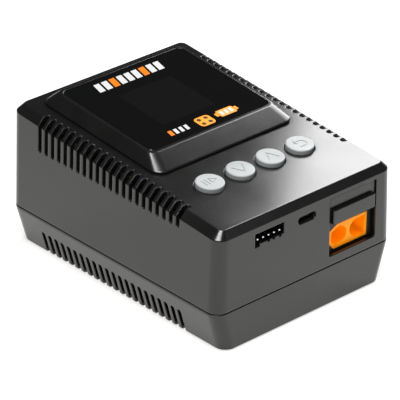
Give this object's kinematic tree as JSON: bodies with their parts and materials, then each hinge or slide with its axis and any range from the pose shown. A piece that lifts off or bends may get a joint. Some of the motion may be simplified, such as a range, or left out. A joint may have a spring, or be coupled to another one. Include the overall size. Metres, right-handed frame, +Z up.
{
  "type": "balance battery charger",
  "caption": "Desktop balance charger: wedge-shaped vented case with a raised display, push buttons, a balance port, a USB port and battery sockets behind a sliding door.",
  "frame": {"origin": "on the surface the feet stand on, under the middle of the body", "axes": "+X to the right of the port face, +Y from the port face to the mains inlet at the back, +Z up"},
  "size_m": [0.083, 0.109, 0.0593],
  "materials": {
    "case_black": "fine moulded texture, satin",
    "inner_black": "plain moulded",
    "window_black": "polished, printed from behind",
    "panel_black": "polished",
    "ribbon_amber": "flexible film",
    "button_grey": "satin",
    "board_green": "solder mask",
    "screw_steel": "zinc plated",
    "switch_steel": "stamped",
    "socket_orange": "satin nylon",
    "contact_gold": "gold plated",
    "socket_blue": "satin nylon",
    "header_black": "satin nylon",
    "pin_tin": "tin plated",
    "shell_steel": "nickel plated",
    "chip_black": "moulded epoxy",
    "ferrite_grey": "sintered ferrite",
    "sink_aluminium": "extruded",
    "sheet_clear": "polyester film",
    "tape_yellow": "polyester tape",
    "sleeve_navy": "shrunk sleeve",
    "block_yellow": "moulded box",
    "choke_green": "coated core",
    "fuse_ceramic": "ceramic",
    "fan_black": "moulded",
    "screw_black": "black zinc",
    "wire_red": "silicone jacket",
    "wire_black": "silicone jacket",
    "foot_rubber": "matt",
    "label_silver": "printed film"
  },
  "bodies": {
    "housing": {"balance_header": "header_black", "balance_pins": "pin_tin", "bridge_rectifier": "chip_black", "bulk_capacitor": "sleeve_navy", "button_board": "board_green", "button_board_screws": "screw_steel", "button_switches": "switch_steel", "buzzer": "chip_black", "case_screws": "screw_black", "controller_chip": "chip_black", "display_panel": "panel_black", "display_ribbon": "ribbon_amber", "display_tray": "inner_black", "display_window": "window_black", "driver_chips": "chip_black", "fan_frame": "fan_black", "fan_lead": "wire_black", "fan_screws": "screw_black", "insulating_sheet": "sheet_clear", "line_capacitor": "block_yellow", "line_choke": "choke_green", "lower_case": "case_black", "lower_socket": "socket_orange", "lower_socket_contacts": "contact_gold", "lower_socket_data_pins": "contact_gold", "main_board": "board_green", "main_board_screws": "screw_steel", "main_heat_sink": "sink_aluminium", "main_transistors": "chip_black", "mains_fuse": "fuse_ceramic", "mains_inlet": "header_black", "mains_inlet_pins": "pin_tin", "mains_leads": "wire_black", "negative_lead": "wire_black", "output_capacitors": "sleeve_navy", "output_choke": "choke_green", "positive_lead": "wire_red", "power_board": "board_green", "power_board_screws": "screw_steel", "power_heat_sinks": "sink_aluminium", "power_inductor": "ferrite_grey", "power_transistors": "chip_black", "rating_plate": "label_silver", "rubber_feet": "foot_rubber", "socket_board": "board_green", "socket_frame": "inner_black", "transformer_core": "ferrite_grey", "transformer_winding": "tape_yellow", "upper_case": "case_black", "upper_socket": "socket_blue", "upper_socket_contacts": "contact_gold", "upper_socket_data_pins": "contact_gold", "usb_shell": "shell_steel", "usb_tongue": "inner_black"},
    "start_button": {"button_start": "button_grey"},
    "down_button": {"button_down": "button_grey"},
    "up_button": {"button_up": "button_grey"},
    "back_button": {"button_back": "button_grey"},
    "door": {"sliding_door": "case_black"},
    "rotor": {"fan_rotor": "fan_black"}
  },
  "joints": [
    {"name": "start_press", "type": "slide", "parent": "housing", "child": "start_button", "axis": [0, 0.0858, -0.9963], "range_m": [0, 0.0005], "stiffness_N_per_m": 2000},
    {"name": "down_press", "type": "slide", "parent": "housing", "child": "down_button", "axis": [0, 0.0858, -0.9963], "range_m": [0, 0.0005], "stiffness_N_per_m": 2000},
    {"name": "up_press", "type": "slide", "parent": "housing", "child": "up_button", "axis": [0, 0.0858, -0.9963], "range_m": [0, 0.0005], "stiffness_N_per_m": 2000},
    {"name": "back_press", "type": "slide", "parent": "housing", "child": "back_button", "axis": [0, 0.0858, -0.9963], "range_m": [0, 0.0005], "stiffness_N_per_m": 2000},
    {"name": "door_slide", "type": "slide", "parent": "housing", "child": "door", "axis": [0, 0, -1], "range_m": [0, 0.0118]},
    {"name": "fan_spin", "type": "hinge", "parent": "housing", "child": "rotor", "pos_m": [-0.011, 0.04645, 0.0341], "axis": [0, 1, 0], "continuous": true}
  ]
}
